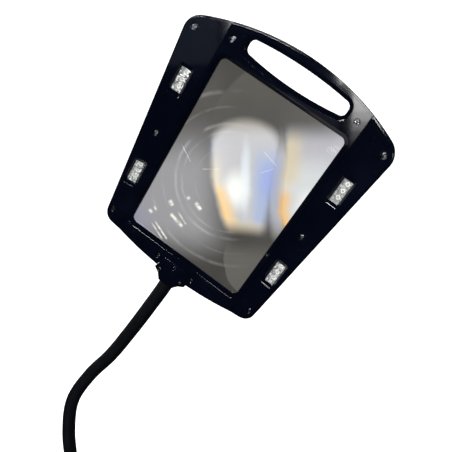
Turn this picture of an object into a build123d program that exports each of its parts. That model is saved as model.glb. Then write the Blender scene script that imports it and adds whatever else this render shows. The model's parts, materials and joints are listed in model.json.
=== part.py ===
from build123d import *
import math
import os

# Magnifying lamp: a full-page Fresnel lens in a flat, flared head with four LED windows,
# carried by a flexible gooseneck on a weighted round base. Millimetres, +Z up, origin at the
# middle of the pad that the base stands on. The LED side of the head faces -Y.

# ---------------------------------------------------------------- driving dimensions

# Head, in its own frame: x across, y from the neck up to the handle, z out of the LED side.
LENS_W, LENS_H = 190.0, 266.0        # clear opening of the 7.5 x 10.5 inch page lens
LENS_CORNER = 8.0
SHEET_LAP = 5.0                      # lens sheet hidden behind the frame on every side
SHEET_T = 2.0

TOP_Y, TOP_R = 189.6, 360.0          # apex and radius of the arched handle edge
BOTTOM_Y, BOTTOM_R = -169.5, 490.0
SIDE_X, SIDE_FLARE = 143.5, 0.077    # half width at the lens middle, and its growth with y
TOP_CORNER, BOTTOM_CORNER = 24.0, 20.0

SEAM_X = 103.0                       # where the wings meet the middle panel
WING_TILT = 11.5                     # degrees each wing leans towards the work
WING_REACH = 70.0
SEAM_GAP = 0.2

FRONT_Z, PARTING_Z, REAR_Z = 8.0, 4.0, -11.5
CLEAR = 60.0                         # far enough to cut right through the head
SKIN = 2.5                           # plastic wall thickness
COVER_INSET = 2.2                    # step between the rear shell's rim and the front covers
SKIRT_T = 2.2                        # wall under the edge of a front cover
KEEL_R, BACK_ROUND, MOUTH_ROUND = 40.0, 3.0, 1.8   # roundings of the user's side
MID_Z = (FRONT_Z + REAR_Z) / 2

SLOT_HALF = 75.0                     # hand slot
SLOT_TOP, SLOT_TOP_R = 175.5, 540.0
SLOT_LOW, SLOT_LOW_R = 146.3, 465.0
SLOT_END = 8.0
SLOT_RIM = 4.5                       # wall around the slot
SLOT_BEVEL, SLOT_BEVEL_DEPTH = 5.0, 3.6

BEZEL, BEZEL_SLOPE = 7.5, 5.5        # frame around the lens opening, and its sloping part
FENCE_T = 2.4                        # ledge wall that keeps the lens sheet in place
SHEET_PLAY = 0.3

# LED windows on each wing: distance out from the seam and height along the head.
LED_SITES = {"upper": (23.1, 79.1), "lower": (18.3, -65.2)}
WINDOW_W, WINDOW_L = 13.4, 32.6
POCKET_W, POCKET_L, POCKET_DEPTH = 19.5, 43.0, 4.0
LED_PITCH, CUP_R, CUP_FLOOR_R = 10.2, 4.7, 2.9
CHIP = 3.5
# Depths below the wing's surface where the layers behind a window end.
BLOCK_BACK, FLANGE_BACK, CUPS_BACK, BOARD_BACK = -6.0, -7.0, -12.0, -13.6
WINDOW_LIP = 1.2                     # lip of the clear cover and reflector behind the window
BOARD_W, BOARD_L = 16.8, 37.6
REST_W, REST_L, REST_H = 8.0, 26.0, 3.4
LEAD_R, LEAD_BEND = 1.2, 10.0
LEAD_LOW_Y, LEAD_TOP_Y = -142.4, 92.0

# Screws in the LED side: place along x and y, the same on both halves of the head.
WING_SCREWS = [(141.0, 145.0), (121.3, 1.0), (124.0, -134.0)]
PANEL_SCREWS = [(91.9, 157.9), (30.5, -153.6)]
HUB_SCREWS = [(18.5, -170.0), (-18.5, -170.0), (0.0, -154.0)]
SCREW_HEAD_R, SCREW_HEAD_H, SCREW_SHANK_R = 3.1, 1.8, 1.4
RECESS_R, RECESS_DEPTH, RECESS_WALL = 4.2, 2.4, 1.2
SCREW_SINK = 0.6                     # head top below the surface around it
SCREW_PLAY = 0.2
COVER_SCREW_L, HUB_SCREW_L = 9.0, 12.0
BOSS_R = 4.0

HUB_THICK = 22.5
NECK_START_Y = -186.0                # face of the hub that the gooseneck meets
STUB_R, STUB_L, STUB_Y = 7.5, 26.0, -173.0         # steel stub that the hub grips
COLLAR_R, COLLAR_T, COLLAR_Y = 10.0, 4.0, -165.0
STUB_PLAY = 0.1
WIRE_WAY_R = 4.0
HUB_PLAY = 0.15

# Push switch in the user's side of the lower border.
BUTTON_X, BUTTON_Y = 62.0, -151.5
BUTTON_R, BUTTON_TRAVEL, BUTTON_PROUD = 5.5, 2.0, 3.2
BUTTON_PLAY, BUTTON_LIP, BUTTON_LIP_T = 0.2, 1.0, 1.2
SWITCH_W, SWITCH_TOP_Z = 12.0, 4.5
SWITCH_FOOT_X, SWITCH_FOOT_T, SWITCH_FOOT_W = 8.5, 2.0, 8.0
DRIVER_X, DRIVER_Y = -72.0, -152.0
DRIVER_L, DRIVER_W, DRIVER_T = 46.0, 11.0, 1.6

# Turn of the head's axis off the vertical, to the right as seen from the LED side.
HEAD_TURN = 32.3

# Gooseneck: links of equal length from the hub to the base. Each entry is the lean of the
# neck at a link's end, in degrees from straight down: sideways, then towards the LED side.
NECK_R = 11.0
LINK_LENGTH = 59.0
NECK_LEANS = [(32.3, 0), (37.5, 0), (35.5, 1), (41, 4), (46, 9), (19, 10), (-5, 8), (-3, 4), (0, 0)]
BALL_R, CUP_GAP, LINK_GAP = 8.6, 0.3, 3.5

# Base
BASE_R, BASE_H, BASE_FLAT_R = 125.0, 34.0, 72.0
BASE_RIM, BASE_WALL = 11.0, 3.0
NECK_FOOT = (-50.0, 0.0)             # where the gooseneck stands on the base
SEAT_R = 20.0                        # thickened place under it
FLANGE_R, FLANGE_T = 17.0, 3.0
FERRULE_H, FERRULE_WALL, FERRULE_PLAY = 10.0, 2.0, 0.35
SHANK_R, SHANK_L = 8.0, 16.0         # thread that goes through the dome
NUT_R, NUT_T, NUT_DROP = 13.0, 7.0, 8.0
PAD_R, PAD_T = 117.0, 2.0
PLATE_R, PLATE_T = 121.0, 2.0
WEIGHT_R, WEIGHT_T, WEIGHT_GAP = 104.0, 17.0, 0.5
WEIGHT_ROUND_POST, WEIGHT_ROUND_NUT = 1.5, 19.0
BASE_SCREW_CIRCLE, BASE_SCREWS, BASE_SCREW_L = 92.0, 4, 14.0
SINK_R, SINK_DEPTH = 2.8, 1.4        # flat heads of the plate screws
POST_R = 5.0
INLET_Z = 10.5
INLET_R, INLET_L, INLET_BORE_R, INLET_PIN_R = 4.5, 19.0, 2.8, 1.0
INLET_BODY_X, INLET_BODY = 18.5, (14.0, 12.0, 9.5)

PARTS = {}


# ---------------------------------------------------------------- shared shapes

def arc_meets_side(arc_middle, radius, sign):
    """Corner where the straight side meets an arc centred on x = 0 at height arc_middle."""
    a = 1 + SIDE_FLARE ** 2
    b = SIDE_FLARE * SIDE_X - arc_middle
    c = SIDE_X ** 2 + arc_middle ** 2 - radius ** 2
    y = (-b + sign * math.sqrt(b * b - a * c)) / a
    return SIDE_X + SIDE_FLARE * y, y


def head_outline(inset=0.0):
    """The flared outline of the head, moved inwards by inset."""
    x_top, y_top = arc_meets_side(TOP_Y - TOP_R, TOP_R, 1)
    x_low, y_low = arc_meets_side(BOTTOM_Y + BOTTOM_R, BOTTOM_R, -1)
    edges = [
        ThreePointArc((-x_top, y_top), (0, TOP_Y), (x_top, y_top)),
        Line((x_top, y_top), (x_low, y_low)),
        ThreePointArc((x_low, y_low), (0, BOTTOM_Y), (-x_low, y_low)),
        Line((-x_low, y_low), (-x_top, y_top)),
    ]
    face = make_face(edges)
    corners = face.vertices().sort_by(Axis.Y)
    face = fillet(corners[2:], TOP_CORNER)
    corners = face.vertices().sort_by(Axis.Y)
    face = fillet(corners[:2], BOTTOM_CORNER)
    return offset(face, -inset) if inset else face


def slot_outline(grow=0.0):
    """The hand slot: two shallow arcs closed by rounded ends."""
    def arc_y(x, apex, radius, sign):
        return apex - sign * (radius - math.sqrt(radius ** 2 - x ** 2))

    y_top = arc_y(SLOT_HALF, SLOT_TOP, SLOT_TOP_R, 1)
    y_low = arc_y(SLOT_HALF, SLOT_LOW, SLOT_LOW_R, -1)
    edges = [
        ThreePointArc((-SLOT_HALF, y_top), (0, SLOT_TOP), (SLOT_HALF, y_top)),
        Line((SLOT_HALF, y_top), (SLOT_HALF, y_low)),
        ThreePointArc((SLOT_HALF, y_low), (0, SLOT_LOW), (-SLOT_HALF, y_low)),
        Line((-SLOT_HALF, y_low), (-SLOT_HALF, y_top)),
    ]
    face = make_face(edges)
    face = fillet(face.vertices(), SLOT_END)
    return offset(face, grow) if grow else face


def lens_outline(grow=0.0):
    return RectangleRounded(LENS_W + 2 * grow, LENS_H + 2 * grow, LENS_CORNER + max(grow, -LENS_CORNER + 1))


def hub_outline(grow=0.0):
    """Funnel-shaped block at the foot of the head, narrowing to the gooseneck."""
    half = [(20, -147), (24, -151), (24, -162), (27, -171), (18.5, -176.5), (NECK_R + 0.6, NECK_START_Y)]
    points = half + [(-x, y) for x, y in reversed(half)]
    face = make_face(Polyline(*points, close=True))
    return offset(face, grow, kind=Kind.INTERSECTION) if grow else face


def slab(face, low, high):
    """The flat face drawn out between two heights."""
    return Pos(0, 0, low) * extrude(face, high - low)


def through(face):
    """The flat face drawn right through the head, for cutting openings."""
    return slab(face, -CLEAR, CLEAR)


def hole(x, y, top, radius, depth):
    """Cylinder that reaches depth below the height top."""
    return Pos(x, y, top - depth / 2) * Cylinder(radius, depth)


def gull(low, high):
    """Endless slab between two heights whose wings rise beyond the seams."""
    rise = WING_REACH * math.tan(math.radians(WING_TILT))
    tip = SEAM_X + WING_REACH
    right = [(SEAM_X, low), (tip, low + rise), (tip, high + rise), (SEAM_X, high)]
    left = [(-x, z) for x, z in reversed(right)]
    profile = make_face(Plane.XZ * Polyline(*right, *left, close=True))
    return extrude(profile, 260, both=True)


def wing_rise(x):
    """Height that the wing has gained at x."""
    return max(0.0, abs(x) - SEAM_X) * math.tan(math.radians(WING_TILT))


def both_sides(shape):
    return [shape, mirror(shape, about=Plane.YZ)]


def wing_frame():
    """Frame on the right wing: origin on the seam, x out along the wing, z out of it."""
    tilt = math.radians(WING_TILT)
    return Location(Plane(origin=(SEAM_X, 0, FRONT_Z),
                          x_dir=(math.cos(tilt), 0, math.sin(tilt)),
                          z_dir=(-math.sin(tilt), 0, math.cos(tilt))))


def drop_in_screw(length):
    """Pan-head screw pointing down, top of its head at z = 0, with a cross recess."""
    head = hole(0, 0, 0, SCREW_HEAD_R, SCREW_HEAD_H)
    head = fillet(head.edges().group_by(Axis.Z)[-1], 0.8)
    shank = hole(0, 0, -SCREW_HEAD_H, SCREW_SHANK_R, length)
    cross = Box(3.4, 0.8, 2.0) + Box(0.8, 3.4, 2.0)
    return head + shank - cross


def screw_places(sites):
    """Each mirrored site as (x, y, height of the surface there)."""
    places = [(sign * x, y) for x, y in sites for sign in (1, -1)]
    return [(x, y, FRONT_Z + wing_rise(x)) for x, y in places]


def put(node, shape, in_head=False):
    """Record a sub-part, moved from the head's frame into the lamp's if it belongs there."""
    PARTS[node] = HEAD * shape if in_head else shape


# ---------------------------------------------------------------- head shells

def is_across(edge):
    """True for the short seams that run along the head inside the outline."""
    middle = edge.center()
    return abs(abs(middle.X) - SEAM_X) < 8 and abs(middle.Y) < 120


def rear_shell():
    """User's side of the head: a shallow tray with the slot wall, lens ledge and bosses."""
    body = through(head_outline()) & gull(REAR_Z, PARTING_Z)
    keel = [e for e in body.edges().filter_by(Axis.Y) if abs(abs(e.center().X) - SEAM_X) < 0.1
            and e.center().Z < 0]
    body = fillet(keel, KEEL_R)
    back = [e for e in body.edges() if e.center().Z < PARTING_Z - 8 + wing_rise(e.center().X)
            and abs(e.tangent_at(0.5).Z) < 0.9 and not is_across(e)]
    body = fillet(back, BACK_ROUND)
    floor_z = REAR_Z + SKIN
    hollow = through(head_outline(SKIN)) & gull(floor_z, CLEAR)
    tray = body - hollow
    slot_wall = slab(slot_outline(SLOT_RIM), floor_z, PARTING_Z)
    fence = slab(lens_outline(SHEET_LAP + FENCE_T), floor_z, SHEET_T / 2 - 0.05)
    fence -= slab(lens_outline(SHEET_LAP + SHEET_PLAY), -SHEET_T / 2, PARTING_Z)
    tray += slot_wall + fence
    for x, y, top in screw_places(WING_SCREWS + PANEL_SCREWS):
        boss_top, boss_low = top - RECESS_DEPTH - 2.8, floor_z + wing_rise(x) - 0.6
        boss = hole(x, y, boss_top, BOSS_R, boss_top - boss_low)
        tray += boss - hole(x, y, boss_top, SCREW_SHANK_R, 7.5)
    for out, up in LED_SITES.values():
        rest_z = BOARD_BACK - 0.05 - REST_H / 2
        rest = wing_frame() * Pos(out, up, rest_z) * Box(REST_W, REST_L, REST_H)
        for post in both_sides(rest):
            tray += post
    tray -= through(lens_outline())
    tray -= through(slot_outline())
    tray -= through(hub_outline(HUB_PLAY))
    tray -= Pos(BUTTON_X, BUTTON_Y, REAR_Z) * Cylinder(BUTTON_R + BUTTON_PLAY, 12)
    inner = [e for e in tray.edges().filter_by(lambda e: abs(e.center().Z - REAR_Z) < 0.01)
             if abs(e.center().X) < SLOT_HALF + 25 and -140 < e.center().Y < 180]
    tray = fillet(inner, MOUTH_ROUND)
    return tray


def middle_panel():
    """LED side of the head between the seams: handle, slot rim and lens bezel."""
    strip = Box(2 * (SEAM_X - SEAM_GAP), 600, 200)
    outline = head_outline(COVER_INSET)
    panel = slab(outline, PARTING_Z, FRONT_Z) & strip
    panel -= slab(head_outline(COVER_INSET + SKIRT_T), 0, FRONT_Z - SKIN)
    panel += slab(slot_outline(SLOT_RIM), PARTING_Z, FRONT_Z - SKIN)
    panel += slab(lens_outline(BEZEL), SHEET_T / 2, FRONT_Z - SKIN)
    panel -= through(lens_outline())
    panel -= through(slot_outline())
    for x, y, top in screw_places(PANEL_SCREWS):
        panel += hole(x, y, top - 0.4, RECESS_R + RECESS_WALL, 3.6)
        panel -= hole(x, y, top, RECESS_R, RECESS_DEPTH)
        panel -= hole(x, y, top, SCREW_SHANK_R + SCREW_PLAY, 10)
    panel -= through(hub_outline(HUB_PLAY))
    top_face = panel.faces().filter_by(Plane.XY).sort_by(Axis.Z)[-1]
    rings = sorted(top_face.inner_wires(), key=lambda w: -w.length)
    panel = chamfer(rings[0].edges(), BEZEL_SLOPE)
    slope = math.degrees(math.atan2(SLOT_BEVEL, SLOT_BEVEL_DEPTH))
    mouth = Pos(0, 0, FRONT_Z) * slot_outline(SLOT_BEVEL)
    return panel - extrude(mouth, SLOT_BEVEL_DEPTH, dir=(0, 0, -1), taper=slope)


def wing_cover():
    """LED side of the right wing, with a tapered pocket around each LED window."""
    outline = head_outline(COVER_INSET)
    beyond = Pos(SEAM_X + SEAM_GAP + 100, 0, 0) * Box(200, 600, 300)
    plate = through(outline) & gull(FRONT_Z - SKIN, FRONT_Z) & beyond
    ring = through(outline) - through(head_outline(COVER_INSET + SKIRT_T))
    cover = plate + (ring & gull(PARTING_Z, FRONT_Z) & beyond)
    for out, up in LED_SITES.values():
        tub = slab(Rectangle(POCKET_W + 4, POCKET_L + 4), -POCKET_DEPTH - 2, -1)
        cover += wing_frame() * Pos(out, up, 0) * tub
    for x, y in WING_SCREWS:
        cover += hole(x, y, FRONT_Z + wing_rise(x) - 0.9, RECESS_R + RECESS_WALL, 3.4)
    for out, up in LED_SITES.values():
        place = wing_frame() * Pos(out, up, 0)
        mouth = RectangleRounded(POCKET_W, POCKET_L, 3)
        window = RectangleRounded(WINDOW_W + 1, WINDOW_L + 1, 1)
        pocket = loft([Pos(0, 0, 0.01) * mouth, Pos(0, 0, -POCKET_DEPTH) * window])
        cover -= place * pocket
        cover -= place * slab(RectangleRounded(WINDOW_W, WINDOW_L, 1), -20, 1)
    for x, y in WING_SCREWS:
        top = FRONT_Z + wing_rise(x)
        cover -= hole(x, y, top + 4, RECESS_R, RECESS_DEPTH + 4)
        cover -= hole(x, y, top, SCREW_SHANK_R + SCREW_PLAY, 15)
    return cover


def along_neck(radius, length, y):
    """Cylinder on the axis of the gooseneck's upper end, centred at height y."""
    return Pos(0, y, MID_Z) * Rot(90, 0, 0) * Cylinder(radius, length)


def neck_head_fitting():
    """Steel stub on the gooseneck's upper end, with the collar that the hub halves clamp."""
    stub = along_neck(STUB_R, STUB_L, STUB_Y) + along_neck(COLLAR_R, COLLAR_T, COLLAR_Y)
    return stub - along_neck(WIRE_WAY_R, 2 * STUB_L, STUB_Y)


def hub_half(front):
    """Half of the block that grips the gooseneck's steel end."""
    low, high = (MID_Z, MID_Z + HUB_THICK / 2) if front else (MID_Z - HUB_THICK / 2, MID_Z)
    half = slab(hub_outline(), low, high)
    outer = half.faces().sort_by(Axis.Z)[-1 if front else 0]
    half = fillet(outer.edges(), 2.0)
    half -= along_neck(STUB_R + STUB_PLAY, CLEAR, COLLAR_Y)
    half -= along_neck(COLLAR_R + STUB_PLAY, COLLAR_T + 2 * STUB_PLAY, COLLAR_Y)
    for x, y in HUB_SCREWS:
        if front:
            half -= hole(x, y, high, SCREW_HEAD_R + 2 * SCREW_PLAY, RECESS_DEPTH)
            half -= hole(x, y, high, SCREW_SHANK_R + SCREW_PLAY, 30)
        else:
            half -= hole(x, y, high, SCREW_SHANK_R, 6)
    return half


# ---------------------------------------------------------------- lens, lights and electrics

def lens_sheet():
    return slab(lens_outline(SHEET_LAP), -SHEET_T / 2, SHEET_T / 2)


def led_window():
    """Clear cover: a block filling the window and a flange behind it."""
    block = slab(RectangleRounded(WINDOW_W - 0.3, WINDOW_L - 0.3, 0.8), BLOCK_BACK, -POCKET_DEPTH - 0.2)
    return block + slab(lip_outline(), FLANGE_BACK, BLOCK_BACK)


def lip_outline():
    return RectangleRounded(WINDOW_W + 2 * WINDOW_LIP, WINDOW_L + 2 * WINDOW_LIP, 1.0)


def led_reflector():
    """Plated insert with three flared cups."""
    depth = FLANGE_BACK - CUPS_BACK
    body = slab(lip_outline(), CUPS_BACK, FLANGE_BACK)
    for step in (-1, 0, 1):
        body -= Pos(0, step * LED_PITCH, (CUPS_BACK + FLANGE_BACK) / 2) * Cone(CUP_FLOOR_R, CUP_R, depth)
    return body


def led_board():
    return slab(RectangleRounded(BOARD_W, BOARD_L, 1.0), BOARD_BACK, CUPS_BACK)


def led_chips():
    chips = [Pos(0, step * LED_PITCH, CUPS_BACK + 0.5) * Box(CHIP, CHIP, 1.0) for step in (-1, 0, 1)]
    return Compound(children=chips)


def driver_board():
    """LED driver in the lower border: a board with its coil, chip and terminals."""
    board = slab(Rectangle(DRIVER_L, DRIVER_W), 0, DRIVER_T)
    coil = Pos(-12, 0, 0) * slab(Circle(4), DRIVER_T, DRIVER_T + 5)
    chip = Pos(2, 0, 0) * slab(Rectangle(6, 6), DRIVER_T, DRIVER_T + 1.6)
    terminal = Pos(17, 0, 0) * slab(Rectangle(8, 8), DRIVER_T, DRIVER_T + 5)
    return Pos(DRIVER_X, DRIVER_Y, REAR_Z + SKIN + 0.4) * (board + coil + chip + terminal)


def switch_body():
    """Sealed push switch behind the button."""
    floor_z = REAR_Z + SKIN
    low = floor_z + BUTTON_PLAY + BUTTON_LIP_T + 0.2 + BUTTON_TRAVEL
    switch = slab(Rectangle(SWITCH_W, SWITCH_W), low, SWITCH_TOP_Z)
    span = 2 * SWITCH_FOOT_X + SWITCH_FOOT_T
    switch += slab(Rectangle(span, SWITCH_FOOT_W), low, low + 1)
    foot = Pos(SWITCH_FOOT_X, 0, 0) * slab(Rectangle(SWITCH_FOOT_T, SWITCH_FOOT_W), floor_z, low)
    for side in both_sides(foot):
        switch += side
    return Pos(BUTTON_X, BUTTON_Y, 0) * switch


def power_button():
    """Round cap standing out of the user's side, with a flange that keeps it in."""
    outer_z = REAR_Z - BUTTON_PROUD
    inner_z = REAR_Z + SKIN + BUTTON_PLAY
    cap = slab(Circle(BUTTON_R), outer_z, inner_z)
    cap = fillet(cap.edges().group_by(Axis.Z)[0], 1.4)
    flange = slab(Circle(BUTTON_R + BUTTON_LIP), inner_z, inner_z + BUTTON_LIP_T)
    return Pos(BUTTON_X, BUTTON_Y, 0) * (cap + flange)


def head_leads():
    """Wiring that runs from the driver up inside both wings."""
    x = SEAM_X + 4
    z = REAR_Z + SKIN + wing_rise(x) + LEAD_R + 0.3
    corners = [(-x, LEAD_TOP_Y, z), (-x, LEAD_LOW_Y, z), (x, LEAD_LOW_Y, z), (x, LEAD_TOP_Y, z)]
    run = FilletPolyline(*corners, radius=LEAD_BEND)
    return sweep(Plane(origin=run @ 0, z_dir=run % 0) * Circle(LEAD_R), path=run)


# ---------------------------------------------------------------- gooseneck

def lean_direction(sideways, forward):
    """Unit vector pointing down the neck at the given leans."""
    side, fore = math.radians(sideways), math.radians(forward)
    level = math.cos(fore)
    return Vector(-math.sin(side) * level, -math.sin(fore), -math.cos(side) * level)


def bend(start, way, way_after, length):
    """The arc of this length that turns from way to way_after, as a function of its share."""
    angle = math.radians(way.get_angle(way_after))
    inward = (way_after - way * math.cos(angle)) / math.sin(angle)
    radius = length / angle

    def at(share):
        turned = angle * share
        return start + way * radius * math.sin(turned) + inward * radius * (1 - math.cos(turned))

    return at


def neck_route(start):
    """Ends of the links from the hub down, the neck's direction there, and each link's curve."""
    place = Vector(*start)
    ways = [lean_direction(*lean) for lean in NECK_LEANS]
    places, curves = [place], []
    for way, way_after in zip(ways, ways[1:]):
        curve = bend(place, way, way_after, LINK_LENGTH)
        place = curve(1.0)
        curves.append(curve)
        places.append(place)
    return places, ways, curves


def neck_link(curve, way, first, last):
    """One link: a bent rod with a cup around the joint above and a ball at the joint below."""
    begin = 0.0 if first else LINK_GAP / LINK_LENGTH
    end = 1.0 if last else 1.0 - LINK_GAP / LINK_LENGTH
    path = ThreePointArc(curve(begin), curve((begin + end) / 2), curve(end))
    rod = sweep(Plane(origin=path @ 0, z_dir=path % 0) * Circle(NECK_R), path=path)
    if not last:
        rod += Pos(*curve(1.0)) * Sphere(BALL_R)
    if not first:
        rod -= Pos(*curve(0.0)) * Sphere(BALL_R + CUP_GAP)
    return rod


def head_location():
    """Where the head sits for the gooseneck to come down on its place on the base."""
    turn = math.radians(HEAD_TURN)
    across, up = Vector(math.cos(turn), 0, -math.sin(turn)), Vector(math.sin(turn), 0, math.cos(turn))
    out = Vector(0, -1, 0)
    hub_face = up * NECK_START_Y + out * MID_Z
    places, _, _ = neck_route(hub_face)
    foot = Vector(*NECK_FOOT, BASE_H + FLANGE_T)
    return Location(Plane(origin=foot - places[-1], x_dir=across, z_dir=out))


# ---------------------------------------------------------------- base

def base_profile(shrink):
    """Half section of the dome, moved inwards by shrink, open at the bottom."""
    outer_r, top, flat = BASE_R - shrink, BASE_H - shrink, BASE_FLAT_R
    rim = BASE_RIM - shrink
    section = [
        Line((0, 0, PAD_T), (outer_r, 0, PAD_T)),
        Line((outer_r, 0, PAD_T), (outer_r, 0, rim)),
        TangentArc((flat, 0, top), (outer_r, 0, rim), tangent=(1, 0, 0)),
        Line((flat, 0, top), (0, 0, top)),
        Line((0, 0, top), (0, 0, PAD_T)),
    ]
    return make_face(section)


def base_screw_places():
    return PolarLocations(BASE_SCREW_CIRCLE, BASE_SCREWS, start_angle=45)


def base_cover(foot):
    """Moulded dome of the base with four screw posts and the seat of the gooseneck."""
    dome = revolve(base_profile(0.0), Axis.Z) - revolve(base_profile(BASE_WALL), Axis.Z)
    dome += hole(foot.X, foot.Y, BASE_H - 2, SEAT_R, 6)
    post_low = PAD_T + PLATE_T
    for post_at in base_screw_places():
        post = hole(0, 0, BASE_H, POST_R, BASE_H - post_low)
        dome += (post_at * post) & revolve(base_profile(1.0), Axis.Z)
        dome -= post_at * hole(0, 0, post_low + 12, SCREW_SHANK_R, 24)
    dome -= Pos(foot.X, foot.Y, BASE_H) * Cylinder(SHANK_R + STUB_PLAY, 40)
    dome -= Pos(-BASE_R, 0, INLET_Z) * Rot(0, 90, 0) * Cylinder(INLET_R + STUB_PLAY, 30)
    return dome


def base_weight(foot):
    """Cast-iron disc, cut away for the posts, the neck's nut and the power inlet."""
    low = PAD_T + PLATE_T + WEIGHT_GAP
    top = low + WEIGHT_T
    disc = slab(Circle(WEIGHT_R), low, top)
    disc = chamfer(disc.edges(), 1.5)
    for post_at in base_screw_places():
        disc -= post_at * through(Circle(POST_R + WEIGHT_ROUND_POST))
    disc -= Pos(foot.X, foot.Y, 0) * through(Circle(WEIGHT_ROUND_NUT))
    disc -= Pos(-BASE_R + 14, 0, 0) * through(Rectangle(34, 26))
    channel = Rectangle(BASE_R + foot.X, 9)
    return disc - Pos((foot.X - BASE_R) / 2, 0, 0) * slab(channel, top - 6.5, top + 0.5)


def base_plate():
    """Steel disc that closes the base, with sunk holes for its screws."""
    plate = slab(Circle(PLATE_R), PAD_T, PAD_T + PLATE_T)
    for post_at in base_screw_places():
        plate -= post_at * hole(0, 0, PAD_T + PLATE_T, SCREW_SHANK_R + SCREW_PLAY, PLATE_T)
        plate -= post_at * flat_head(SCREW_PLAY)
    return plate


def flat_head(grow):
    """Cone of a flat screw head, level with the underside of the plate."""
    cone = Cone(SINK_R + grow, SCREW_SHANK_R + grow, SINK_DEPTH)
    return Pos(0, 0, PAD_T + SINK_DEPTH / 2) * cone


def base_screws():
    """Flat-headed plate screws, hidden by the pad."""
    screws = []
    for post_at in base_screw_places():
        shank = hole(0, 0, PAD_T + BASE_SCREW_L, SCREW_SHANK_R - 0.05, BASE_SCREW_L)
        screws.append(post_at * (shank + flat_head(-0.05)))
    return Compound(children=screws)


def neck_foot_fitting(foot):
    """Steel stub under the gooseneck: flange on the dome, threaded shank through it."""
    flange = hole(0, 0, BASE_H + FLANGE_T, FLANGE_R, FLANGE_T)
    flange = fillet(flange.edges().group_by(Axis.Z)[-1], 1.2)
    ferrule_top = BASE_H + FLANGE_T + FERRULE_H
    ferrule = hole(0, 0, ferrule_top, NECK_R + FERRULE_WALL, FERRULE_H)
    ferrule = chamfer(ferrule.edges().group_by(Axis.Z)[-1], 0.8)
    shank = hole(0, 0, BASE_H, SHANK_R, SHANK_L)
    seat = hole(0, 0, ferrule_top, NECK_R + FERRULE_PLAY, FERRULE_H)
    wire_way = hole(0, 0, BASE_H + 20, WIRE_WAY_R, 50)
    return Pos(foot.X, foot.Y, 0) * (flange + ferrule + shank - seat - wire_way)


def neck_foot_nut(foot):
    """Hexagon nut that draws the stub down from inside the dome."""
    top = BASE_H - NUT_DROP
    nut = slab(RegularPolygon(NUT_R, 6) - Circle(SHANK_R + 0.05), top - NUT_T, top)
    return Pos(foot.X, foot.Y, 0) * nut


def power_inlet():
    """Round low-voltage socket with its centre pin, in the rim of the base."""
    level = Pos(-BASE_R, 0, INLET_Z) * Rot(0, 90, 0)
    barrel = level * slab(Circle(INLET_R), 0, INLET_L)
    body = Pos(-BASE_R + INLET_BODY_X, 0, INLET_Z) * Box(*INLET_BODY)
    bore = level * slab(Circle(INLET_BORE_R), -3, 13)
    pin = level * slab(Circle(INLET_PIN_R), 1, 13)
    return barrel + body - bore + pin


def build():
    put("rear_shell", rear_shell(), True)
    put("middle_panel", middle_panel(), True)
    wings = both_sides(wing_cover())
    put("right_wing_cover", wings[0], True)
    put("left_wing_cover", wings[1], True)
    put("hub_front", hub_half(True), True)
    put("hub_rear", hub_half(False), True)
    put("lens", lens_sheet(), True)

    makers = {"led_window": led_window, "led_reflector": led_reflector,
              "led_board": led_board, "led_chips": led_chips}
    for level, (out, up) in LED_SITES.items():
        for name, make in makers.items():
            seated = wing_frame() * Pos(out, up, 0) * make()
            put(f"{name}_{level}_right", seated, True)
            put(f"{name}_{level}_left", mirror(seated, about=Plane.YZ), True)

    put("driver_board", driver_board(), True)
    put("switch_body", switch_body(), True)
    put("power_button", power_button(), True)
    put("head_leads", head_leads(), True)

    screws = []
    for x, y, top in screw_places(WING_SCREWS + PANEL_SCREWS):
        screws.append(Pos(x, y, top - SCREW_SINK) * drop_in_screw(COVER_SCREW_L))
    put("cover_screws", Compound(children=screws), True)
    hub_top = MID_Z + HUB_THICK / 2 - SCREW_SINK
    hub_screws = [Pos(x, y, hub_top) * drop_in_screw(HUB_SCREW_L) for x, y in HUB_SCREWS]
    put("hub_screws", Compound(children=hub_screws), True)

    hub_face = HEAD * Pos(0, NECK_START_Y, MID_Z)
    _, ways, curves = neck_route(hub_face.position)
    last = len(curves) - 1
    for index, curve in enumerate(curves):
        link = neck_link(curve, ways[index], index == 0, index == last)
        put(f"neck_link_{index + 1}", link)
    put("neck_head_fitting", neck_head_fitting(), True)

    foot = Vector(*NECK_FOOT, 0)
    put("base_cover", base_cover(foot))
    put("base_weight", base_weight(foot))
    put("base_plate", base_plate())
    put("base_pad", slab(Circle(PAD_R), 0, PAD_T))
    put("base_screws", base_screws())
    put("neck_foot_fitting", neck_foot_fitting(foot))
    put("neck_foot_nut", neck_foot_nut(foot))
    put("power_inlet", power_inlet())

    os.makedirs("parts", exist_ok=True)
    for node, shape in PARTS.items():
        export_step(shape, f"parts/{node}.step")


HEAD = head_location()
build()
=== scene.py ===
import json
import math

import bmesh
import bpy
from mathutils import Matrix, Vector


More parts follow.
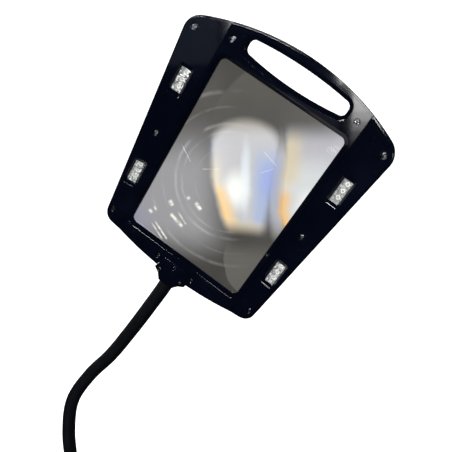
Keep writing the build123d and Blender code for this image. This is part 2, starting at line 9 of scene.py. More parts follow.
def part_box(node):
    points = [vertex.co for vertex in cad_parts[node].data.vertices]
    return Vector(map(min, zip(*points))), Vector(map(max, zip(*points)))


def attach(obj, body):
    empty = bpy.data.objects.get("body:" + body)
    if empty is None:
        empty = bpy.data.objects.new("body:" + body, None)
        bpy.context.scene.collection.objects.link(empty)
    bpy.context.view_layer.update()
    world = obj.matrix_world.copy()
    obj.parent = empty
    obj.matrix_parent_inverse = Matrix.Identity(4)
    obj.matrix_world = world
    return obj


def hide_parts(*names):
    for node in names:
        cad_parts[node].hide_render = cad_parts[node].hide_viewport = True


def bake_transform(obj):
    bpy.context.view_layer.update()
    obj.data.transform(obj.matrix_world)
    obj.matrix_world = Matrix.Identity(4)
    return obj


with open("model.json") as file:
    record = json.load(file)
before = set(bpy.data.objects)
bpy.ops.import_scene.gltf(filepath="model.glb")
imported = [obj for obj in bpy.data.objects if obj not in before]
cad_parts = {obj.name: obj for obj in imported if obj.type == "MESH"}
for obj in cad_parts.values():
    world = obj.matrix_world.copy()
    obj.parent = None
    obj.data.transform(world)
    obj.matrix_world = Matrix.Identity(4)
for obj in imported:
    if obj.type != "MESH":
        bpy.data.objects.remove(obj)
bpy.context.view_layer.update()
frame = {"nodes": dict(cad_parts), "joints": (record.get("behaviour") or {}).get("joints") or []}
NODES = frame["nodes"]
JOINTS = {joint["name"]: joint for joint in frame["joints"]}
MM = 0.001
EDGE_ROUND = 0.9 * MM                # how far the plastic's edges look rounded
SHARP_EDGE = math.radians(35)        # steeper edges than this are shaded sharp

# ---------------------------------------------------------------- places taken from the frame


def box_middle(node):
    low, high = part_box(node)
    return (low + high) / 2


HEAD_TURN = math.radians(32.3)       # turn of the head about the line from front to back
WING_TILT = math.radians(11.5)       # lean of each wing towards the work
HEAD_MIDDLE = box_middle("lens")
ACROSS = Vector((math.cos(HEAD_TURN), 0, -math.sin(HEAD_TURN)))
UP = Vector((math.sin(HEAD_TURN), 0, math.cos(HEAD_TURN)))
OUT = Vector((0, -1, 0))


def basis(across, up, out, origin):
    """Matrix with these three directions as its axes."""
    return Matrix.Translation(origin) @ Matrix((across, up, out)).transposed().to_4x4()


HEAD = basis(ACROSS, UP, OUT, HEAD_MIDDLE)


def wing_axes(side):
    """Across, up and out of the right (1) or left (-1) wing."""
    across = ACROSS * math.cos(WING_TILT) + OUT * side * math.sin(WING_TILT)
    out = OUT * math.cos(WING_TILT) - ACROSS * side * math.sin(WING_TILT)
    return across, UP, out


# ---------------------------------------------------------------- node helpers


class Field:
    """A number in a node tree that plain arithmetic can combine."""

    def __init__(self, tree, socket):
        self.tree = tree
        self.socket = socket

    def math(self, operation, *others):
        node = self.tree.nodes.new("ShaderNodeMath")
        node.operation = operation
        for slot, value in zip(node.inputs, (self,) + others):
            if isinstance(value, Field):
                self.tree.links.new(value.socket, slot)
            else:
                slot.default_value = value
        return Field(self.tree, node.outputs[0])

    def __add__(self, other):
        return self.math("ADD", other)

    def __sub__(self, other):
        return self.math("SUBTRACT", other)

    def __mul__(self, other):
        return self.math("MULTIPLY", other)

    def __truediv__(self, other):
        return self.math("DIVIDE", other)

    def abs(self):
        return self.math("ABSOLUTE")

    def most(self, other):
        return self.math("MAXIMUM", other)

    def step(self, low, high):
        """0 below low, 1 above high and a smooth rise between; low may be the larger."""
        node = self.tree.nodes.new("ShaderNodeMapRange")
        node.interpolation_type = "SMOOTHSTEP"
        falling = low > high
        self.tree.links.new(self.socket, node.inputs["Value"])
        node.inputs["From Min"].default_value = min(low, high)
        node.inputs["From Max"].default_value = max(low, high)
        node.inputs["To Min"].default_value = 1.0 if falling else 0.0
        node.inputs["To Max"].default_value = 0.0 if falling else 1.0
        return Field(self.tree, node.outputs["Result"])


class Look:
    """A material under construction: its node tree and its principled shader."""

    def __init__(self, name):
        self.material = bpy.data.materials.new(name)
        self.material.use_nodes = True
        self.tree = self.material.node_tree
        self.shader = self.tree.nodes["Principled BSDF"]
        self.output = self.tree.nodes["Material Output"]
        self.coords = self.tree.nodes.new("ShaderNodeTexCoord").outputs["Object"]

    def set(self, **values):
        for name, value in values.items():
            self.shader.inputs[name.replace("_", " ")].default_value = value
        return self

    def feed(self, name, field):
        self.tree.links.new(getattr(field, "socket", field), self.shader.inputs[name])
        return self

    def place(self, matrix):
        """Object coordinates seen in another frame, as three fields in millimetres."""
        inverse = matrix.inverted()
        fields = []
        for row in range(3):
            dot = self.tree.nodes.new("ShaderNodeVectorMath")
            dot.operation = "DOT_PRODUCT"
            self.tree.links.new(self.coords, dot.inputs[0])
            dot.inputs[1].default_value = inverse[row][:3]
            fields.append((Field(self.tree, dot.outputs["Value"]) + inverse[row][3]) * 1000)
        return fields

    def noise(self, scale, detail=2.0, roughness=0.5):
        node = self.tree.nodes.new("ShaderNodeTexNoise")
        node.inputs["Scale"].default_value = scale
        node.inputs["Detail"].default_value = detail
        node.inputs["Roughness"].default_value = roughness
        self.tree.links.new(self.coords, node.inputs["Vector"])
        return Field(self.tree, node.outputs["Fac"])

    def cells(self, scale, output="Distance"):
        node = self.tree.nodes.new("ShaderNodeTexVoronoi")
        node.inputs["Scale"].default_value = scale
        self.tree.links.new(self.coords, node.inputs["Vector"])
        return Field(self.tree, node.outputs[output])

    def mix(self, first, second, share):
        """Colour between two colours (tuples or sockets) by a field."""
        node = self.tree.nodes.new("ShaderNodeMix")
        node.data_type = "RGBA"
        node.clamp_factor = True
        self.tree.links.new(share.socket, node.inputs[0])
        for slot, value in ((node.inputs[6], first), (node.inputs[7], second)):
            if isinstance(value, tuple):
                slot.default_value = value + (1.0,)
            else:
                self.tree.links.new(value, slot)
        return node.outputs[2]

    def bump(self, height, strength, distance, normal=None):
        node = self.tree.nodes.new("ShaderNodeBump")
        if normal is not None:
            self.tree.links.new(normal, node.inputs["Normal"])
        node.inputs["Strength"].default_value = strength
        node.inputs["Distance"].default_value = distance
        self.tree.links.new(height.socket, node.inputs["Height"])
        self.tree.links.new(node.outputs["Normal"], self.shader.inputs["Normal"])
        return self


# ---------------------------------------------------------------- materials


def gloss_plastic(name, dark, light, roughness=0.035):
    """Polished moulding: faint flow marks, soft edges, dust and hairline scratches."""
    look = Look(name)
    flow = look.noise(14, 3)
    colour = look.mix(dark, light, flow.step(0.35, 0.7))
    dust = look.cells(430).step(0.07, 0.03) * look.noise(60, 2).step(0.58, 0.68)
    colour = look.mix(colour, (0.14, 0.15, 0.16), dust)
    look.feed("Base Color", colour)
    hairlines = look.noise(35, 5, 0.7)
    look.feed("Roughness", hairlines * 0.05 + roughness + dust * 0.4)
    edges = look.tree.nodes.new("ShaderNodeBevel")
    edges.samples = 4
    edges.inputs["Radius"].default_value = EDGE_ROUND
    look.bump(look.noise(300, 2), 0.006, 0.0003, edges.outputs["Normal"])
    return look.set(IOR=1.5).material


def matte_rubber(name, dark, light):
    """Dull soft skin with a fine grain."""
    look = Look(name)
    look.feed("Base Color", look.mix(dark, light, look.noise(70, 4).step(0.35, 0.7)))
    look.feed("Roughness", look.noise(300, 3) * 0.2 + 0.46)
    look.bump(look.noise(1900, 3), 0.25, 0.0003)
    return look.set(Specular_IOR_Level=0.12).material


def metal(name, colour, stain, roughness, grain=2400, strength=0.08, depth=0.0002):
    """Stained metal whose skin has bumps of this grain, strength and depth."""
    look = Look(name)
    look.feed("Base Color", look.mix(colour, stain, look.noise(180, 4).step(0.45, 0.75)))
    look.feed("Roughness", look.noise(600, 3) * 0.18 + roughness)
    look.bump(look.noise(grain, 2), strength, depth)
    return look.set(Metallic=1.0).material


def screw_steel():
    """Dark zinc finish whose uneven skin throws a small glint."""
    return metal("screw_steel", (0.15, 0.155, 0.17), (0.03, 0.03, 0.035), 0.12,
                 grain=420, strength=0.9, depth=0.0012)


def moulded(name, dark, light, roughness=0.5):
    """Plain moulding or board with a satin skin."""
    look = Look(name)
    look.feed("Base Color", look.mix(dark, light, look.noise(90, 4).step(0.3, 0.7)))
    look.feed("Roughness", look.noise(500, 2) * 0.15 + roughness)
    look.bump(look.noise(1500, 3), 0.15, 0.0003)
    return look.material


def plated_cups():
    """Vacuum-plated reflector with painted reflections: its facets, 1 or 2 mm across, are painted light or
    dark as if each caught a different light, and the light ones glow.
    """
    look = Look("plated_reflector")
    facets = look.cells(430, "Color")
    swirl = look.noise(420, 2, 0.6)
    # Painted reflections: how light each facet is painted.
    bright = (facets * 0.75 + swirl * 0.5).step(0.52, 0.86)
    x, _, _ = look.place(Matrix.Translation(HEAD_MIDDLE))
    bright = bright * (x.step(150, 20) * 0.55 + 0.45)        # painted shade: dimmer towards the right wing
    colour = look.mix((0.012, 0.014, 0.010), (0.70, 0.71, 0.68), bright)
    look.feed("Base Color", colour)
    look.feed("Roughness", facets * 0.25 + 0.2)
    look.bump(swirl, 0.5, 0.0006)
    # Painted glint: the light facets glow through the emission colour.
    glint = look.mix((0.003, 0.004, 0.002), (0.62, 0.64, 0.58), bright * bright)
    look.feed("Emission Color", glint)
    return look.set(Metallic=0.6, Emission_Strength=0.42).material


def clear_window():
    """Thin clear plastic: mostly see-through, with a polished skin."""
    look = Look("clear_window")
    look.feed("Roughness", look.noise(300, 3) * 0.06 + 0.04)
    look.set(Base_Color=(0.9, 0.93, 0.95, 1.0), IOR=1.49)
    clear = look.tree.nodes.new("ShaderNodeBsdfTransparent")
    blend = look.tree.nodes.new("ShaderNodeMixShader")
    haze = look.noise(90, 3) * 0.08 + 0.05
    look.tree.links.new(haze.socket, blend.inputs["Fac"])
    look.tree.links.new(clear.outputs[0], blend.inputs[1])
    look.tree.links.new(look.shader.outputs[0], blend.inputs[2])
    look.tree.links.new(blend.outputs[0], look.output.inputs["Surface"])
    return look.material


# ---------------------------------------------------------------- camera, light and floor

EYE = Vector((0.4218, -0.5800, 0.7226))
SIGHT = Vector((-0.2972, 0.9157, -0.2705)).normalized()
FOCAL, SENSOR = 38.33, 36.0          # camera lens and sensor width, mm
SOFT_FILL = 0.40                     # sky strength that lights matt surfaces
MIRRORED_SKY = 0.004                 # sky strength that polished surfaces mirror


def make_camera():
    data = bpy.data.cameras.new("camera")
    data.lens, data.sensor_width = FOCAL, SENSOR
    data.clip_start, data.clip_end = 0.01, 50
    camera = bpy.data.objects.new("camera", data)
    aim = SIGHT.to_track_quat("-Z", "Y")
    camera.matrix_world = Matrix.Translation(EYE) @ aim.to_matrix().to_4x4()
    bpy.context.scene.collection.objects.link(camera)
    bpy.context.scene.camera = camera


def area_light(name, place, target, width, height, power, colour=(1, 1, 1)):
    """Rectangular light at a place, aimed at a target."""
    data = bpy.data.lights.new(name, "AREA")
    data.shape, data.size, data.size_y = "RECTANGLE", width, height
    data.energy, data.color = power, colour
    light = bpy.data.objects.new(name, data)
    aim = (Vector(target) - Vector(place)).to_track_quat("-Z", "Y")
    light.matrix_world = Matrix.Translation(Vector(place)) @ aim.to_matrix().to_4x4()
    bpy.context.scene.collection.objects.link(light)


def make_world():
    """White for what the eye sees, mid grey for soft fill, and dark for mirror reflections."""
    world = bpy.data.worlds.new("studio")
    bpy.context.scene.world = world
    world.use_nodes = True
    tree = world.node_tree
    background = tree.nodes["Background"]
    path = tree.nodes.new("ShaderNodeLightPath")
    through = Field(tree, path.outputs["Is Transmission Ray"])
    seen = Field(tree, path.outputs["Is Camera Ray"]).most(through)
    mirrored = Field(tree, path.outputs["Is Glossy Ray"]) * MIRRORED_SKY
    fill = Field(tree, path.outputs["Is Diffuse Ray"]) * SOFT_FILL
    level = seen.most(fill).most(mirrored)
    tree.links.new(level.socket, background.inputs["Strength"])
    background.inputs["Color"].default_value = (1, 1, 1, 1)


def make_floor():
    """Pale sweep: flat under the lamp, curving up behind it."""
    half, front, bend_start, bend_r, top = 2.8, -0.40, 1.5, 1.2, 3.2
    profile = [(front, 0.0), (bend_start, 0.0)]
    steps = 16
    for i in range(1, steps + 1):
        angle = i / steps * math.pi / 2
        profile.append((bend_start + bend_r * math.sin(angle), bend_r * (1 - math.cos(angle))))
    profile.append((bend_start + bend_r, top))
    mesh = bpy.data.meshes.new("studio_floor")
    verts = [(x, y, z) for y, z in profile for x in (-half, half)]
    faces = [(2 * i, 2 * i + 1, 2 * i + 3, 2 * i + 2) for i in range(len(profile) - 1)]
    mesh.from_pydata(verts, [], faces)
    mesh.polygons.foreach_set("use_smooth", [True] * len(mesh.polygons))
    floor = bpy.data.objects.new("studio_floor", mesh)
    bpy.context.scene.collection.objects.link(floor)
    look = Look("pale_floor")
    look.feed("Base Color", look.mix((0.84, 0.84, 0.84), (0.88, 0.88, 0.88), look.noise(3, 2)))
    look.set(Roughness=0.9, Specular_IOR_Level=0.1)
    look.set(Emission_Color=(1, 1, 1, 1), Emission_Strength=0.62)
    mesh.materials.append(look.material)
    floor.visible_glossy = False


# ---------------------------------------------------------------- mesh helpers


def new_piece(name, mesh_builder, materials, body, matrix=None, smooth=True):
    """Object from a bmesh, placed by a matrix and riding on a body."""
    mesh = bpy.data.meshes.new(name)
    mesh_builder.normal_update()
    if matrix is not None:
        mesh_builder.transform(matrix)
    for edge in mesh_builder.edges:
        if len(edge.link_faces) == 2 and edge.calc_face_angle(0.0) > SHARP_EDGE:
            edge.smooth = False
    for face in mesh_builder.faces:
        face.smooth = smooth
    mesh_builder.to_mesh(mesh)
    mesh_builder.free()
    for material in materials:
        mesh.materials.append(material)
    piece = bpy.data.objects.new(name, mesh)
    bpy.context.scene.collection.objects.link(piece)
    if body:
        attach(piece, body)
    return piece


def nodes_named(start):
    """CAD nodes whose names begin this way."""
    return [name for name in NODES if name.startswith(start)]


def dress(names, material):
    """Give CAD nodes a better material."""
    for name in names:
        mesh = NODES[name].data
        mesh.materials.clear()
        mesh.materials.append(material)


# ---------------------------------------------------------------- lens

LENS_HALF_W, LENS_HALF_H, LENS_R = 100.0 * MM, 138.0 * MM, 13.0 * MM
GROOVE_PITCH, GROOVE_DEPTH = 2.0 * MM, 0.035 * MM
GROOVE_WALL = 0.12                   # steep side of a groove, as a share of its pitch
LENS_THICK = 1.9 * MM
LENS_SPOKES = 480                    # points around each ring
WELD = 1e-7                          # points closer than this become one


def edge_distance(angle):
    """Distance from the lens's middle to its rounded rectangular edge in this direction."""
    c, s = abs(math.cos(angle)), abs(math.sin(angle))
    flat = min(LENS_HALF_W / max(c, 1e-9), LENS_HALF_H / max(s, 1e-9))
    x, y = flat * c, flat * s
    corner_x, corner_y = LENS_HALF_W - LENS_R, LENS_HALF_H - LENS_R
    if x <= corner_x or y <= corner_y:
        return flat
    along = corner_x * c + corner_y * s
    off = corner_x ** 2 + corner_y ** 2 - LENS_R ** 2
    return along + math.sqrt(max(0.0, along * along - off))


def lens_mesh():
    """Sheet with ring grooves moulded into its LED side, cut to a rounded rectangle."""
    rings = int(edge_distance(math.atan2(LENS_HALF_H, LENS_HALF_W)) / GROOVE_PITCH) + 2
    turns = [2 * math.pi * i / LENS_SPOKES for i in range(LENS_SPOKES)]
    reach = [edge_distance(turn) for turn in turns]
    bm = bmesh.new()
    front, back = LENS_THICK / 2, -LENS_THICK / 2
    middle = bm.verts.new((0, 0, front))
    previous = None
    profile = []
    for ring in range(1, rings):
        radius = ring * GROOVE_PITCH
        profile.append((radius - GROOVE_WALL * GROOVE_PITCH, front - GROOVE_DEPTH))
        profile.append((radius, front))
    for radius, height in profile:
        loop = []
        for turn, limit in zip(turns, reach):
            r = min(radius, limit)
            z = height if radius < limit else front - GROOVE_DEPTH / 2
            loop.append((r, limit, bm.verts.new((r * math.cos(turn), r * math.sin(turn), z))))
        for i in range(LENS_SPOKES):
            j = (i + 1) % LENS_SPOKES
            here, there = loop[i], loop[j]
            if previous is None:
                bm.faces.new((middle, here[2], there[2]))
            else:
                before, beyond = previous[i], previous[j]
                if before[0] >= before[1] and beyond[0] >= beyond[1]:
                    continue
                bm.faces.new((before[2], here[2], there[2], beyond[2]))
        previous = loop
    bmesh.ops.remove_doubles(bm, verts=bm.verts, dist=WELD)
    bmesh.ops.dissolve_degenerate(bm, dist=WELD, edges=bm.edges)
    loose = [v for v in bm.verts if not v.link_faces]
    bmesh.ops.delete(bm, geom=loose, context="VERTS")
    rim = [e for e in bm.edges if len(e.link_faces) == 1]
    wall = bmesh.ops.extrude_edge_only(bm, edges=rim)["geom"]
    new_verts = [g for g in wall if isinstance(g, bmesh.types.BMVert)]
    for vert in new_verts:
        vert.co.z = back
    rim = [e for e in bm.edges if len(e.link_faces) == 1]
    bmesh.ops.contextual_create(bm, geom=rim)
    bmesh.ops.recalc_face_normals(bm, faces=bm.faces)
    return bm


# Painted highlights along faint rings moulded in the lens, in millimetres: radius, width and how much they
# show.
LENS_RING_HIGHLIGHTS = (
    (80, 2.0, 0.20),
    (70, 1.5, 0.16),
    (120, 2.4, 0.14),
    (101, 1.4, 0.10),
    (50, 1.2, 0.07),
)

# Painted highlights: short bright marks where the rings catch a lamp, and a few hairlines painted bright,
# in millimetres from the lens's middle: both ends (x, z), width and how much they show.
LENS_HIGHLIGHT_STROKES = (
    (-113, -65, -97, -88, 2.4, 0.8),
    (-119, -67, -104, -89, 2.2, 0.6),
    (-88, -51, -72, -67, 4.2, 0.75),
    (-76, -48, -66, -63, 2.2, 0.55),
    (-122, -47, -119, -50, 4.5, 0.7),
    (-114, -42, -112, -46, 3.0, 0.6),
    (-89, -31, -86, -37, 4.8, 0.9),
    (-61, -24, -60, -26, 4.2, 0.7),
    (-49, -32, -43, -40, 4.6, 1.0),
    (-68, 48, -57, 28, 1.3, 0.6),
    (-38, 17, -17, 18, 1.1, 0.45),
    (48, 43, 64, 26, 1.3, 0.35),
    (44, 16, 60, 22, 1.1, 0.3),
)


def lens_highlight_stroke(x, z, start_x, start_z, end_x, end_z, wide, gain):
    """A short painted highlight stroke that fades at its sides and its ends."""
    run_x, run_z = end_x - start_x, end_z - start_z
    length = math.hypot(run_x, run_z)
    run_x, run_z = run_x / length, run_z / length
    along = (x - start_x) * run_x + (z - start_z) * run_z
    off = ((x - start_x) * run_z - (z - start_z) * run_x).abs()
    end_fade = (along - length / 2).abs().step(length / 2 + 3, length / 2 - 1.5)
    return off.step(wide, 0.0) * end_fade * gain


def lens_look():
    """Grey moulded lens with painted light in its colour and glow: lighter patches, ring highlights, two
    pools with coloured fringes and bright marks.
    """
    look = Look("fresnel_lens")
    true_x, _, true_z = look.place(Matrix.Translation(HEAD_MIDDLE))
    drift = look.noise(16, 3) * 2.0 - 1.0
    ripple = look.noise(55, 2) * 2.0 - 1.0
    x = true_x + drift * 5.0 + ripple * 1.5
    z = true_z + look.noise(13, 2) * 8.0 - 4.0

    def oval(cx, cz, rx, rz, low, high):
        """1 inside an oval, falling to 0 from low to high, where 1.0 is its edge."""
        dx, dz = (x - cx) / rx, (z - cz) / rz
        return (dx * dx + dz * dz).math("SQRT").step(high, low)

    radius = (x * x + z * z).math("SQRT")
    base = look.mix((0.034, 0.033, 0.030), (0.058, 0.056, 0.052), look.noise(8, 2).step(0.3, 0.7))
    # Painted light: lighter patches on the grey, at the lower left, a lavender one far left, and fainter
    # ones above and below.
    painted_light_lower_left = x.step(15, -55) * z.step(100, 10) * z.step(-125, -60)
    base = look.mix(base, (0.19, 0.19, 0.195), painted_light_lower_left * 0.95)
    base = look.mix(base, (0.17, 0.175, 0.22), oval(-148, -61, 52, 38, 0.0, 1.0) * 0.8)
    painted_light_upper = oval(62, 62, 92, 92, 0.95, 1.0) * z.step(70, 120)
    base = look.mix(base, (0.066, 0.064, 0.056), painted_light_upper * 0.6)
    painted_light_lower = oval(45, -110, 56, 62, 0.95, 1.0) * z.step(-75, -110)
    base = look.mix(base, (0.095, 0.09, 0.080), painted_light_lower * 0.65)
    broken = look.noise(30, 2).step(0.35, 0.62) * x.step(40, -50)
    # Painted highlights along the rings, broken up and kept to the left.
    for ring, width, gain in LENS_RING_HIGHLIGHTS:
        ring_highlight = (radius - ring).abs().step(width * 1.8, 0.0)
        base = look.mix(base, (0.46, 0.46, 0.45), ring_highlight * broken * gain)
    look.feed("Base Color", base)

    # First painted pool of light: an arch on top, a left side that leans in, and a soft lower end.
    left_side = (z * -1.0 + 7.0).most(0.0) * 0.33 - 29.0
    inward = x - left_side
    right_side = (z - 52.0) * 0.187 + 74.0
    outward = right_side - x
    above = (z - 45.0).most(0.0) / 44.0
    arch_x = (x - 21.0) / 54.0
    arch = (arch_x * arch_x + above * above).math("SQRT").step(1.08, 0.72)
    pool = inward.step(-5, 9) * outward.step(-6, 12) * arch * z.step(-76, -50)

    light = look.mix((0.36, 0.33, 0.28), (0.55, 0.55, 0.57), z.step(88, 62))
    light = look.mix(light, (0.36, 0.46, 0.70), x.step(27, 44) * z.step(62, 20) * 0.85)
    light = look.mix(light, (0.27, 0.36, 0.80), oval(56, 4, 20, 40, 0.1, 1.0) * 0.75)
    light = look.mix(light, (0.78, 0.88, 0.95), oval(23, 8, 9, 62, 0.2, 1.1) * 0.8)
    light = look.mix(light, (0.97, 1.0, 0.96), oval(10, -10, 24, 34, 0.15, 1.15))
    light = look.mix(light, (0.80, 0.70, 0.48), inward.step(26, 4) * z.step(50, 8) * 0.8)
    amber = inward.step(30, 4) * inward.step(-2, 6) * z.step(4, -18)
    light = look.mix(light, (1.0, 0.62, 0.20), amber * 0.9)
    light = look.mix(light, (0.70, 0.60, 0.42), z.step(-46, -62) * 0.8)
    deep_blue = inward.step(6, 0) * z.step(30, 44) * z.step(74, 56)
    light = look.mix(light, (0.07, 0.17, 0.55), deep_blue * 0.8)

    # Second painted pool of light: against the right edge, with a coloured left border.
    border = (z - 60.0) * 0.09 + 76.0
    border = border + (z * -1.0 - 36.0).most(0.0) * 0.5
    past = x - border
    second = past.step(-7, 6) * z.step(86, 52)
    right_light = look.mix((0.42, 0.42, 0.47), (0.66, 0.69, 0.70), z.step(56, 10))
    right_light = look.mix(right_light, (1.0, 1.0, 0.98), past.step(14, 40) * z.step(4, -24))
    straw = past.step(32, 8) * z.step(-6, 12) * z.step(90, 50)
    right_light = look.mix(right_light, (0.68, 0.57, 0.34), straw * 0.75)
    orange = past.step(21, 2) * z.step(10, -24)
    right_light = look.mix(right_light, (0.95, 0.52, 0.10), orange * 0.95)
    light = look.mix(light, (0.46, 0.47, 0.52), outward.step(12, -4) * 0.8)
    light = look.mix(light, right_light, past.step(-6, 7))
    bridge = oval(70, -4, 26, 84, 0.45, 1.0) * 0.9
    lit = pool.most(second).most(bridge)

    # The painted highlight strokes use the true place, so that they stay straight.
    marks = lens_highlight_stroke(true_x, true_z, *LENS_HIGHLIGHT_STROKES[0])
    for stroke in LENS_HIGHLIGHT_STROKES[1:]:
        marks = marks.most(lens_highlight_stroke(true_x, true_z, *stroke))
    # Painted sparkle in a small patch.
    painted_sparkle = look.noise(900, 1).step(0.52, 0.66) * oval(136, 49, 13, 9, 0.2, 1.0) * 0.8
    patchy = look.noise(150, 3).step(0.30, 0.55) * 0.65 + 0.35
    marks = (marks * patchy).most(painted_sparkle)
    light = look.mix(light, (1.0, 1.0, 0.97), marks)
    # The painted light goes into the emission colour, so the lens glows with it.
    glow = look.mix((0.0, 0.0, 0.0), light, lit.most(marks))
    look.feed("Emission Color", glow)
    look.feed("Roughness", look.noise(40, 3) * 0.08 + 0.10)
    look.set(Emission_Strength=0.95, IOR=1.49, Coat_Weight=0.3, Coat_Roughness=0.05)
    return look.material


def make_lens():
    lens = new_piece("fresnel_lens", lens_mesh(), [lens_look()], "head", HEAD, smooth=False)
    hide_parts("lens")


# ---------------------------------------------------------------- LEDs


LED_PITCH = 10.2 * MM
LED_BODY, LED_HEIGHT, LED_EDGE = 3.4 * MM, 0.9 * MM, 0.25 * MM
WELL_R, DOME_H = 1.25 * MM, 0.7 * MM
DOME_SIDES = 20
# Radius and height of the rings that make the well's rim and the dome, from the outside in.
DOME_RINGS = (
    (WELL_R * 1.15, LED_HEIGHT / 2),
    (WELL_R, 0.62 * MM),
    (WELL_R * 0.72, DOME_H),
    (WELL_R * 0.35, DOME_H * 1.12),
)


def join_loops(bm, loops):
    """Walls of quads between neighbouring loops that have the same number of points."""
    for lower, upper in zip(loops, loops[1:]):
        for i in range(len(lower)):
            j = (i + 1) % len(lower)
            bm.faces.new((lower[i], lower[j], upper[j], upper[i]))


def led_mesh():
    """Three surface-mount LEDs: ceramic body, and a well and small dome that both take the phosphor
    material.
    """
    bm = bmesh.new()
    turns = [2 * math.pi * i / DOME_SIDES for i in range(DOME_SIDES)]
    for step in (-1, 0, 1):
        middle = step * LED_PITCH
        place = Matrix.Translation((0, middle, 0)) @ Matrix.Diagonal((LED_BODY, LED_BODY, LED_HEIGHT, 1))
        made = bmesh.ops.create_cube(bm, size=1.0, matrix=place)
        edges = list({e for v in made["verts"] for e in v.link_edges})
        bmesh.ops.bevel(bm, geom=edges, offset=LED_EDGE, segments=2, profile=0.5, affect="EDGES")
        before = set(bm.faces)
        loops = []
        for radius, height in DOME_RINGS:
            loops.append([bm.verts.new((radius * math.cos(turn), middle + radius * math.sin(turn), height))
                          for turn in turns])
        join_loops(bm, loops)
        bm.faces.new(loops[-1])
        bm.faces.new(list(reversed(loops[0])))
        for face in set(bm.faces) - before:
            face.material_index = 1
    return bm


def make_leds():
    ceramic = moulded("led_ceramic", (0.10, 0.10, 0.09), (0.55, 0.55, 0.52), 0.4)
    phosphor = Look("led_phosphor")
    tint = phosphor.mix((0.10, 0.10, 0.06), (0.24, 0.23, 0.16), phosphor.noise(2600, 2))
    phosphor.feed("Base Color", tint)
    phosphor.feed("Roughness", phosphor.noise(900, 2) * 0.1 + 0.25)
    phosphor.set(Emission_Color=(1.0, 0.78, 0.30, 1), Emission_Strength=0.02)
    materials = [ceramic, phosphor.material]
    for level in ("upper", "lower"):
        for side, sign in (("right", 1), ("left", -1)):
            node = f"led_chips_{level}_{side}"
            place = basis(*wing_axes(sign), box_middle(node))
            leds = new_piece(f"leds_{level}_{side}", led_mesh(), materials, "head", place)
            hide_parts(node)


# ---------------------------------------------------------------- gooseneck

NECK_R = 11.0 * MM
SLEEVE_R = NECK_R * 0.995            # just inside the CAD links' outside
SLEEVE_RINGS = 24
SLEEVE_SIDES = 40
LINKS = 8
FITTING_DEPTH = 13 * MM              # neck's top end below the upper fitting's middle
FOOT_DEPTH = 10 * MM                 # neck's foot below the lower fitting's top
BEND_REACH = 0.42                    # share of a link on each side of its joint; the points there are found but not used


def neck_points():
    """Ends of the links, from the head's block down to the base."""
    points = [Vector(JOINTS[f"neck_bend_{k}"]["pos_m"]) for k in range(1, LINKS)]
    fitting = box_middle("neck_head_fitting")
    top = fitting - UP * FITTING_DEPTH
    foot = box_middle("neck_foot_fitting")
    foot.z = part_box("neck_foot_fitting")[1].z - FOOT_DEPTH
    return [top] + points + [foot]


def neck_ways(points):
    """Direction of the neck at each link's end: along a circle through it and its neighbours,
    and straight at both ends of the neck."""
    ways = [-UP]
    for before, here, after in zip(points, points[1:], points[2:]):
        first, second = here - before, after - here
        way = first.normalized() * second.length + second.normalized() * first.length
        ways.append(way.normalized())
    ways.append(Vector((0, 0, -1)))
    return ways


def on_link(points, ways, index, s):
    """Point and direction on a link's smooth curve; s is 0 at its upper end and 1 at its lower."""
    a, b = points[index], points[index + 1]
    reach = (b - a).length
    p, q = ways[index] * reach, ways[index + 1] * reach
    spot = (a * (2 * s ** 3 - 3 * s ** 2 + 1) + p * (s ** 3 - 2 * s ** 2 + s)
            + b * (-2 * s ** 3 + 3 * s ** 2) + q * (s ** 3 - s ** 2))
    way = (a * (6 * s ** 2 - 6 * s) + p * (3 * s ** 2 - 4 * s + 1)
           + b * (-6 * s ** 2 + 6 * s) + q * (3 * s ** 2 - 2 * s))
    return spot, way.normalized()


def sleeve_mesh(path):
    """Closed tube along points and directions, keeping the same side forward all the way."""
    bm = bmesh.new()
    turns = [2 * math.pi * i / SLEEVE_SIDES for i in range(SLEEVE_SIDES)]
    loops = []
    for spot, way in path:
        right = way.cross(OUT).normalized()
        front = right.cross(way).normalized()
        loops.append([bm.verts.new(spot + (right * math.cos(t) + front * math.sin(t)) * SLEEVE_R)
                      for t in turns])
    join_loops(bm, loops)
    bm.faces.new(loops[0])
    bm.faces.new(list(reversed(loops[-1])))
    bmesh.ops.recalc_face_normals(bm, faces=bm.faces)
    return bm


def make_neck(material):
    """Smooth sleeve in lengths that meet at the middle of each link and curve over each joint; only the
    top and foot lengths ride on a body.
    """
    points = neck_points()
    ways = neck_ways(points)

    def length(start, end):
        """Sleeve from start to end, counted in links from the head."""
        path = []
        for i in range(SLEEVE_RINGS + 1):
            t = start + (end - start) * i / SLEEVE_RINGS
            index = min(int(t), LINKS - 1)
            path.append(on_link(points, ways, index, t - index))
        return sleeve_mesh(path)

    top = new_piece("neck_sleeve_top", length(0.0, 0.5), [material], "head")
    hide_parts("neck_link_1")
    for k in range(1, LINKS):
        piece = new_piece(f"neck_sleeve_{k}", length(k - 0.5, k + 0.5), [material], None)
        below, _ = on_link(points, ways, k, BEND_REACH)
        above, _ = on_link(points, ways, k - 1, 1 - BEND_REACH)
        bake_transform(piece)
        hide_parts(f"neck_link_{k + 1}")
    foot = new_piece("neck_sleeve_foot", length(LINKS - 0.5, LINKS), [material], "base")


# ---------------------------------------------------------------- lights that the head mirrors

SHINE_Y = -1.50                      # these lights stand in front of the lamp
STRIP_TOP, STRIP_HEIGHT, STRIP_RIGHT = 0.82, 0.04, 0.52
STRIP_WATTS = (0.9, 1.15, 0.85, 0.38, 0.31, 0.22, 0.11, 0.044, 0.015)
WIDE_ABOVE, WIDE_LEFT, NARROW_LEFT = 0.75, 0.225, 0.285


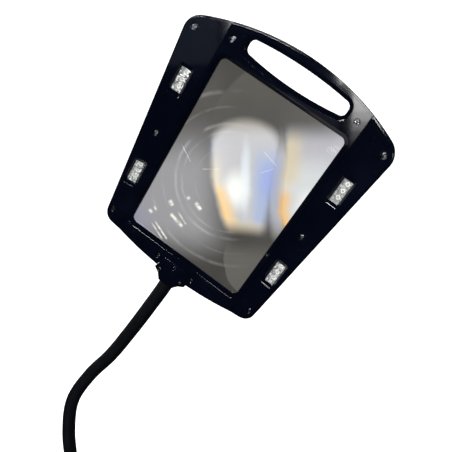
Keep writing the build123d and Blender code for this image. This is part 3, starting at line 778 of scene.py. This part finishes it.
def make_panel_shine():
    """Stack of strips, dimmer from the second down, that the flat handle panel mirrors as a fading
    silver patch. The lower ones are narrower, so that the left wing doesn't mirror them too."""
    for number, watts in enumerate(STRIP_WATTS):
        z = STRIP_TOP - number * STRIP_HEIGHT
        left = WIDE_LEFT if z > WIDE_ABOVE else NARROW_LEFT
        x = (left + STRIP_RIGHT) / 2
        area_light(f"panel_shine_{number}", (x, SHINE_Y, z), (x, 0.0, z),
                   STRIP_RIGHT - left, STRIP_HEIGHT, watts)


def make_wing_sheen():
    """Faint bluish light that the top of the left wing mirrors."""
    x, z, side, watts = 0.12, 0.62, 0.22, 0.032
    area_light("wing_sheen", (x, SHINE_Y, z), (x, 0.0, z), side, side, watts, (0.75, 0.85, 1.0))


# ---------------------------------------------------------------- assembly

make_camera()
make_world()
make_floor()
area_light("key", (0.05, -1.70, 1.50), (0.36, 0.3, 0.40), 0.5, 0.5, 58)
make_panel_shine()
area_light("back_fill", (-0.90, 1.45, 1.25), (0.2, 0.0, 0.5), 1.1, 1.1, 11)
area_light("back_fill_low", (1.10, 1.45, 0.70), (0.2, 0.0, 0.5), 0.5, 1.0, 5)
area_light("side_fill", (2.0, 0.30, 1.0), (0.2, 0.0, 0.4), 0.6, 1.2, 5)
area_light("far_side_fill", (-1.9, 0.35, 0.9), (0.0, 0.0, 0.4), 0.6, 1.2, 5)
make_wing_sheen()

dress(["rear_shell", "middle_panel", "right_wing_cover", "left_wing_cover", "hub_front", "hub_rear"],
      gloss_plastic("black_gloss_plastic", (0.0006, 0.0010, 0.0030), (0.0012, 0.0020, 0.0050)))
dress(["base_cover"],
      gloss_plastic("base_gloss_plastic", (0.004, 0.0048, 0.0068), (0.007, 0.008, 0.011), 0.2))
dress(["power_button"],
      moulded("button_plastic", (0.03, 0.03, 0.032), (0.05, 0.05, 0.053), 0.35))
dress(["switch_body", "power_inlet"],
      moulded("dark_nylon", (0.02, 0.02, 0.022), (0.03, 0.03, 0.032)))
dress(nodes_named("led_board") + ["driver_board"],
      moulded("white_board", (0.60, 0.61, 0.58), (0.72, 0.73, 0.70), 0.4))
dress(nodes_named("led_reflector"), plated_cups())
dress(nodes_named("led_window"), clear_window())
dress(["cover_screws", "hub_screws", "base_screws"], screw_steel())
dress(["neck_head_fitting", "neck_foot_fitting", "neck_foot_nut"],
      metal("blackened_steel", (0.05, 0.05, 0.055), (0.025, 0.025, 0.027), 0.28))
dress(["base_weight"], metal("cast_iron", (0.12, 0.12, 0.12), (0.07, 0.06, 0.055), 0.6))
dress(["base_plate"], metal("painted_plate", (0.03, 0.03, 0.03), (0.04, 0.04, 0.04), 0.5))
dress(["base_pad"], matte_rubber("pad_rubber", (0.02, 0.02, 0.02), (0.035, 0.035, 0.034)))
dress(["head_leads"], matte_rubber("lead_sleeve", (0.015, 0.015, 0.016), (0.03, 0.03, 0.03)))

make_lens()
make_leds()
make_neck(matte_rubber("neck_rubber", (0.0004, 0.0009, 0.0018), (0.0010, 0.0018, 0.0030)))

bpy.context.scene.view_settings.view_transform = "Standard"
